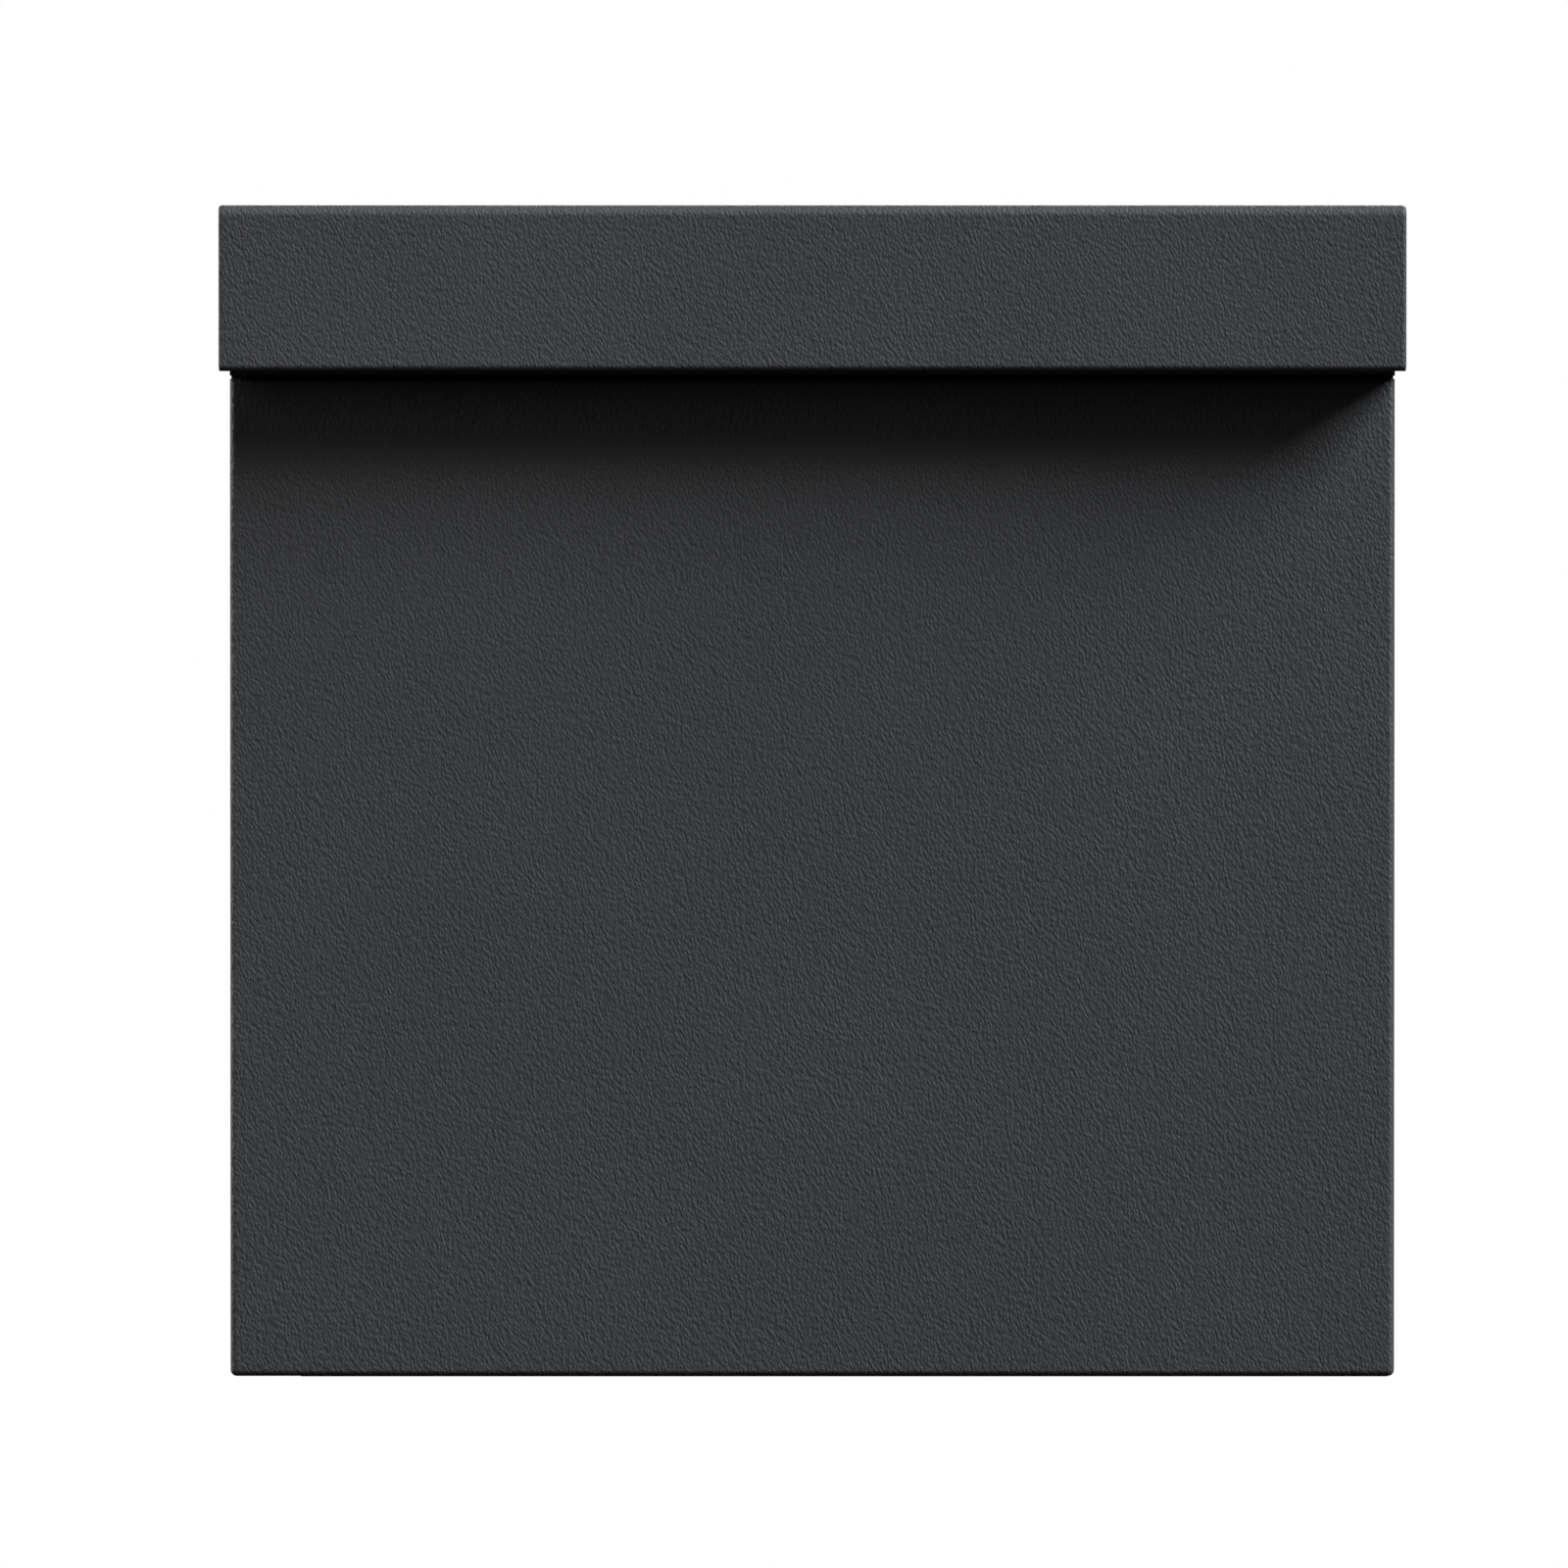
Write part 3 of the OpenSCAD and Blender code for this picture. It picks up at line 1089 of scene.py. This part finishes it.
    def fascia(self) -> Piece:
        """Folds the fixed strip that holds the lock.

        Returns:
            The strip.
        """
        low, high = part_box("top_fascia")
        lock = centre("lock_housing")
        strip = block("fascia_strip", low, high)
        fold(strip, lambda m, d: m.y < low.y + NEAR and m.z < low.z + NEAR and along(d.x), self.fold_radius)
        open_sides(strip, lambda m, n: along(n.x) or n.z > SQUARE or n.y > SQUARE)
        gauge(strip, self.sheet)
        cut(strip, rod("lock_drill", Axis.Y, (lock.x, low.y - 5 * MM, lock.z), 10 * MM, self.lock_hole))
        return ease(strip, 0.2 * MM)

    def buffers(self) -> Piece:
        """Turns the two stepped rubber buffers that the hood lands on.

        Returns:
            Both buffers.
        """
        low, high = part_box("hood_buffers")
        y = (low.y + high.y) / 2
        made = []
        radius = self.buffer_radius
        for x in (low.x + radius, high.x - radius):
            post = rod("post", Axis.Z, (x, y, low.z), high.z - low.z, radius, 40)
            shoulder = high.z - 3 * MM
            score(post, (0, 0, shoulder), (0, 0, 1))
            with editing(post):
                pick(post, Part.FACE, lambda m, n: m.z > shoulder)
                bpy.ops.transform.resize(value=(0.68, 0.68, 1), center_override=(x, y, high.z))
            made.append(post)
        return ease(join("hood_rests", made), 0.6 * MM, 3, 25)

    def bumpers(self) -> Piece:
        """Turns the three rubber bumpers that the door closes onto.

        Returns:
            All three bumpers.
        """
        low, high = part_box("door_bumpers")
        x = (low.x + high.x) / 2
        radius = self.bumper_radius
        zs = (low.z + radius, 0.0, high.z - radius)
        made = [rod("bumper", Axis.Y, (x, low.y, z), high.y - low.y, radius, 32) for z in zs]
        return ease(join("door_rests", made), 0.8 * MM, 3, 60)

    def chute(self) -> Piece:
        """Folds the guide plate under the slot.

        Returns:
            The guide plate.
        """
        low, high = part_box("letter_chute")
        plate = bend(
            "letter_guide", low.x, high.x,
            [(high.y, high.z), (low.y, high.z), (low.y + 6 * MM, low.z)], -self.sheet, 1.4 * MM,
        )
        return ease(plate, 0.2 * MM)

    def edging(self) -> Piece:
        """Presses a grooved rubber edging onto the foot sheet's front edge, to close the seam under the door.

        Returns:
            The edging.
        """
        low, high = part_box("body_shell")
        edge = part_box("door_panel")[1].y + self.door_gap
        left, right = low.x + 22 * MM, high.x - self.sheet - 0.4 * MM
        over = 0.9 * MM
        top = (right, edge + 5 * MM, low.z + self.sheet + over)
        strip = block("foot_edging", (left, edge - 1.35 * MM, low.z - over), top)
        fold(strip, lambda m, d: along(d.x), 0.7 * MM, 4)
        free = 0.02 * MM
        top = (right + 1 * MM, edge + 6 * MM, low.z + self.sheet + free)
        cut(strip, block("groove", (left - 1 * MM, edge - 0.05 * MM, low.z - free), top))
        return ease(strip, 0.15 * MM)

    def side_return(self) -> Piece:
        """Folds the strip that the door closes onto.

        Returns:
            The strip.
        """
        low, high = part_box("front_return")
        strip = block("return_strip", low, high)
        fold(strip, lambda m, d: m.x < low.x + NEAR and m.y > high.y - NEAR and along(d.z), self.fold_radius)
        open_sides(strip, lambda m, n: n.x > SQUARE or n.y < -SQUARE or along(n.z))
        gauge(strip, self.sheet)
        for z0, z1 in ((low.z - 1 * MM, low.z + 1 * MM), (high.z - 2.2 * MM, high.z + 1 * MM)):
            start = (low.x - 1 * MM, low.y - 1 * MM, z0)
            cut(strip, block("trim", start, (high.x + 1 * MM, high.y - 1.6 * MM, z1)))
        return ease(strip, 0.2 * MM)

    def build(self) -> None:
        """Makes and hangs the housing's pieces."""
        for make, finish, *nodes in (
            (self.chute, INNER, "letter_chute"),
            (self.side_return, INNER, "front_return"),
            (self.edging, RUBBER),
            (self.shell, COAT, "body_shell"),
            (self.back, COAT, "back_panel"),
            (self.deck, COAT, "top_deck"),
            (self.trim, RUBBER, "slot_trim"),
            (self.fascia, COAT, "top_fascia"),
            (self.buffers, RUBBER, "hood_buffers"),
            (self.bumpers, RUBBER, "door_bumpers"),
        ):
            hang(make(), Body.HOUSING, finish, *nodes)


@dataclass
class CamLock:
    """The concealed lock: its housing with a stepped flange, the plug with its keyway, and the cam."""

    barrel: float = 9 * MM
    bore: float = 6 * MM
    flange: float = 2 * MM
    shoulder: float = 4.5 * MM
    threads: int = 8
    pitch: float = 1.6 * MM
    thread_root: float = 0.945
    core: float = 21 * MM
    key_width: float = 1.2 * MM
    key_height: float = 8 * MM
    square: float = 6 * MM

    def housing(self) -> Piece:
        """Turns the housing from one disc: a flange, a shouldered barrel and a through bore.

        Returns:
            The housing.
        """
        low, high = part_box("lock_housing")
        x, z = (low.x + high.x) / 2, (low.z + high.z) / 2
        disc = rod("lock_body", Axis.Y, (x, low.y, z), self.flange, self.barrel + self.flange, 64)
        root = self.thread_root
        with editing(disc):
            pick(disc, Part.FACE, lambda m, n: n.y > SQUARE)
            bpy.ops.mesh.inset(thickness=self.flange)
            extrude(self.shoulder)
            for _ in range(self.threads):
                for shrink, length in ((root, 0.35), (1.0, 0.5), (1 / root, 0.35), (1.0, 0.4)):
                    extrude(length * MM)
                    if shrink != 1.0:
                        bpy.ops.transform.resize(value=(shrink, 1, shrink), center_override=(x, 0, z))
            extrude(high.y - (low.y + self.flange + self.shoulder + self.threads * self.pitch))
        fold(disc, lambda m, d: m.y < low.y + EXACT, 0.6 * MM, 4)
        cut(disc, rod("bore_drill", Axis.Y, (x, low.y - 0.002, z), 0.03, self.bore, 64))
        return ease(disc, 0.0)

    def plug(self) -> Piece:
        """Turns the plug, dishes its face and cuts the keyway.

        Returns:
            The plug.
        """
        low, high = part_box("lock_plug")
        x, z = (low.x + high.x) / 2, (low.z + high.z) / 2
        radius = (high.x - low.x) / 2
        core = rod("lock_core", Axis.Y, (x, low.y, z), self.core, radius, 64)
        with editing(core):
            pick(core, Part.FACE, lambda m, n: n.y < -SQUARE)
            bpy.ops.mesh.inset(thickness=0.9 * MM)
            extrude(0.5 * MM)
            bpy.ops.transform.resize(value=(0.9, 1, 0.9), center_override=(x, 0, z))
        side, tall, half = self.key_width / 2, self.key_height / 2, self.square / 2
        cut(core, block("keyway", (x - side, low.y - 1 * MM, z - tall), (x + side, low.y + 8 * MM, z + tall)))
        start = (x - side, low.y + 1.2 * MM, z + 0.6 * MM)
        ward = block("ward", start, (x + 0.15 * MM, low.y + 7.5 * MM, z + 1.4 * MM))
        start = (x - half, low.y + self.core - 0.1 * MM, z - half)
        square = block("cam_square", start, (x + half, high.y, z + half))
        return ease(join("lock_core", [core, ward, square]), 0.1 * MM, 2, 60)

    def cam(self) -> Piece:
        """Cuts the cam from flat bar, rounded at both ends.

        Returns:
            The cam.
        """
        low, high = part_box("lock_cam")
        bar = block("latch_cam", (low.x, low.y, low.z + 1 * MM), (high.x, high.y, high.z - 1 * MM))
        fold(bar, lambda m, d: along(d.y), 5.9 * MM, 8)
        x, z = high.x - 7 * MM, (low.z + high.z) / 2
        half = self.square / 2 + 0.02 * MM
        start = (x - half, low.y - 10 * MM, z - half)
        cut(bar, block("square_hole", start, (x + half, high.y + 10 * MM, z + half)))
        return ease(bar, 0.25 * MM)

    def screw(self) -> Piece:
        """Turns the cam's screw, domes its head and slots it.

        Returns:
            The screw.
        """
        low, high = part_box("cam_screw")
        x, z = (low.x + high.x) / 2, (low.z + high.z) / 2
        head = domed("latch_screw", Axis.Y, (x, high.y - 2 * MM, z), 2 * MM, 4.6 * MM)
        start = (x - 5 * MM, high.y - 0.9 * MM, z - 0.5 * MM)
        cut(head, block("slot", start, (x + 5 * MM, high.y + 1 * MM, z + 0.5 * MM)))
        shank = rod("shank", Axis.Y, (x, low.y, z), high.y - low.y - 1.5 * MM, 1.5 * MM, 24)
        return ease(join("latch_screw", [head, shank]), 0.0)

    def build(self) -> None:
        """Makes and hangs the lock's pieces."""
        hang(self.housing(), Body.HOUSING, NICKEL, "lock_housing")
        hang(self.plug(), Body.LOCK, NICKEL, "lock_plug")
        hang(self.cam(), Body.LOCK, ZINC, "lock_cam")
        hang(self.screw(), Body.LOCK, ZINC, "cam_screw")


@dataclass
class Fasteners:
    """Pins and rivets with domed heads."""

    body_sheet: float = 1.2 * MM
    rivet_radius: float = 2.4 * MM
    guide_rivets_x: Point = (-0.14, -0.047, 0.047, 0.14)

    def hood_pins(self) -> Piece:
        """The two headed pivot pins.

        Returns:
            Both pins.
        """
        low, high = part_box("hood_pins")
        y, z = (low.y + high.y) / 2, (low.z + high.z) / 2
        made = []
        for side in (-1, 1):
            tip = high.x * side
            made.append(domed("head", Axis.X, (tip - side * 1.6 * MM, y, z), side * 1.6 * MM, 5.5 * MM))
            wall = side * (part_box("body_shell")[1].x - self.body_sheet)
            inner, outer = wall - side * 3 * MM, tip - side * 1.5 * MM
            made.append(rod("shank", Axis.X, (min(inner, outer), y, z), abs(outer - inner), 3 * MM, 32))
            made.append(rod("collar", Axis.X, (min(wall, wall - side * 2 * MM), y, z), 2 * MM, 4.5 * MM, 32))
        return ease(join("pivot_pins", made), 0.12 * MM, 2, 50)

    def chute_rivets(self) -> Piece:
        """The four rivets through the deck and the guide plate, each with a head above and below.

        Returns:
            All eight heads.
        """
        low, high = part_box("chute_rivets")
        y = (low.y + high.y) / 2
        made = []
        for x in self.guide_rivets_x:
            made.append(domed("head", Axis.Z, (x, y, high.z - 1 * MM), 1 * MM, 3.2 * MM))
            made.append(domed("head", Axis.Z, (x, y, low.z + 1 * MM), -1 * MM, 3.2 * MM))
        return ease(join("guide_rivets", made), 0.0)

    def heads(self, name: str, axis: Axis, height: float, feet: Sequence[Point]) -> Piece:
        """Rivet heads in a row or a square.

        Args:
            name: the piece's name.
            axis: the axis they point along.
            height: how high they stand.
            feet: the middle of each foot.

        Returns:
            All the heads.
        """
        made = [domed("head", axis, foot, height, self.rivet_radius) for foot in feet]
        return ease(join(name, made), 0.0)

    def build(self) -> None:
        """Makes and hangs the fasteners."""
        hang(self.hood_pins(), Body.HOUSING, COAT, "hood_pins")
        hang(self.chute_rivets(), Body.HOUSING, ZINC, "chute_rivets")
        radius = self.rivet_radius
        low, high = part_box("bracket_rivets")
        feet = [
            (low.x, y, z) for y in (low.y + radius, high.y - radius) for z in (low.z + radius, high.z - radius)
        ]
        tabs = self.heads("hinge_rivets", Axis.X, high.x - low.x, feet)
        hang(tabs, Body.HOUSING, ZINC, "bracket_rivets")
        low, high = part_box("catch_rivets")
        feet = [(x, low.y, (low.z + high.z) / 2) for x in (low.x + radius, high.x - radius)]
        hook = self.heads("hook_rivets", Axis.Y, high.y - low.y, feet)
        hang(hook, Body.DOOR, ZINC, "catch_rivets")


@dataclass
class CadDress:
    """CAD nodes whose shape is right as it is, dressed in their finish."""

    finishes: dict[str, Finish] = field(
        default_factory=lambda: {
            "hood_washers": NYLON,
            "hinge_bracket_upper": ZINC,
            "hinge_bracket_lower": ZINC,
            "hood_bushes": NYLON,
            "door_hinge_pins": ZINC,
            "door_washers": NYLON,
            "lock_nut": ZINC,
        }
    )

    def build(self) -> None:
        """Gives each node its material."""
        for name, finish in self.finishes.items():
            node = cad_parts[name]
            node.data.materials.clear()
            node.data.materials.append(finish.material())
            LOG.info("%s: dressed in %s", name, finish.name)


# ---------------- the studio


@dataclass(frozen=True)
class Softbox:
    """A lamp aimed at the middle of the object: its name, place, short and long side, watts and colour.

    The last field is the way its long side runs.
    """

    name: str
    place: Point
    size: Point
    power: float
    colour: Colour
    along: Point = (0, 0, 1)

    def build(self) -> None:
        """Makes the lamp and turns it to the object."""
        data = bpy.data.lights.new(self.name, "AREA")
        data.shape = "RECTANGLE"
        data.size, data.size_y = self.size
        data.energy, data.color = self.power, self.colour
        lamp = bpy.data.objects.new(self.name, data)
        lamp.location = self.place
        back = Vector(self.place).normalized()
        up = (Vector(self.along) - back * back.dot(Vector(self.along))).normalized()
        lamp.rotation_euler = Matrix((up.cross(back), up, back)).transposed().to_euler()
        bpy.context.scene.collection.objects.link(lamp)


@dataclass
class Studio:
    """Pale floor, soft lights and a level camera straight in front."""

    distance: float = 6.0
    height: float = 0.142
    aim: float = 0.00235
    aside: float = -0.0090
    across: float = 0.4980
    sensor: float = 36.0
    floor_drop: float = 0.30
    floor_radius: float = 1.7
    sky: float = 0.012
    sky_gloss: float = 0.05
    lamps: tuple[Softbox, ...] = (
        Softbox("key_softbox", (13.0, -6.3, 12.8), (9.2, 11.2), 7300.0, (0.955, 0.98, 1.0), (0, 1, 0)),
        Softbox("fill_softbox", (-0.75, -1.0, 0.45), (0.6, 0.6), 1.4, (1.0, 0.95, 0.88)),
        Softbox("left_softbox", (-4.0, 0.9, 0.9), (1.5, 2.5), 150.0, (1.0, 0.99, 0.97)),
        Softbox("back_softbox", (1.6, 5.0, 2.2), (2.0, 3.0), 420.0, (1.0, 1.0, 1.0)),
    )

    def camera(self) -> None:
        """Places the camera far off at the height of the hood's band, facing the wall."""
        data = bpy.data.cameras.new("studio_camera")
        data.sensor_width = self.sensor
        data.lens = self.sensor * self.distance / self.across
        data.clip_start, data.clip_end = 0.1, 50.0
        camera = bpy.data.objects.new("studio_camera", data)
        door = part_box("door_panel")[0].y
        camera.location = (self.aside, door - self.distance, self.height)
        tip = math.atan((self.height - self.aim) / self.distance)
        camera.rotation_euler = (math.pi / 2 - tip, 0, 0)
        bpy.context.scene.collection.objects.link(camera)
        bpy.context.scene.camera = camera

    def floor(self) -> None:
        """Lays a pale round floor below the object."""
        low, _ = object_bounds()
        clear_bench()
        bpy.ops.mesh.primitive_circle_add(
            vertices=128, radius=self.floor_radius, fill_type="NGON", location=(0, 0, low.z - self.floor_drop)
        )
        floor = settle(bpy.context.active_object, "studio_floor")
        recipe = Recipe("floor_paint")
        cloud = recipe.noise(recipe.place(), 3.0, 3.0, 0.5)
        recipe.tinge(cloud, (1.0, 1.0, 1.0), 0.80, 0.86)
        recipe.put("Roughness", recipe.spread(cloud, 0.3, 0.7, 0.75, 0.9))
        floor.data.materials.append(recipe.stuff)
        floor.visible_diffuse = False
        floor.visible_glossy = False
        floor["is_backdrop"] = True

    def sky_light(self) -> None:
        """A white surround that lights the object only faintly."""
        world = bpy.data.worlds.new("studio_surround")
        bpy.context.scene.world = world
        world.use_nodes = True
        nodes, links = world.node_tree.nodes, world.node_tree.links
        nodes.clear()
        out = nodes.new("ShaderNodeOutputWorld")
        path = nodes.new("ShaderNodeLightPath")
        white, lights = (1.0, 1.0, 1.0), []
        for colour, strength in (((0.95, 0.97, 1.0), self.sky), (white, self.sky_gloss), (white, 1.0)):
            light = nodes.new("ShaderNodeBackground")
            light.inputs["Color"].default_value = (*colour, 1)
            light.inputs["Strength"].default_value = strength
            lights.append(light.outputs[0])
        seen = lights[0]
        for ray, light in zip(("Is Glossy Ray", "Is Camera Ray"), lights[1:]):
            mix = nodes.new("ShaderNodeMixShader")
            for value, socket in zip((path.outputs[ray], seen, light), mix.inputs):
                links.new(value, socket)
            seen = mix.outputs[0]
        links.new(seen, out.inputs["Surface"])

    def build(self) -> None:
        """Sets up the whole studio."""
        self.camera()
        self.sky_light()
        self.floor()
        for lamp in self.lamps:
            lamp.build()
        bpy.context.scene.view_settings.view_transform = "Standard"


def main() -> None:
    """Builds the mailbox, piece by piece, and the studio round it."""
    Housing().build()
    Hood().build()
    Door().build()
    CamLock().build()
    Fasteners().build()
    CadDress().build()
    Studio().build()


if __name__ == "__main__":
    main()
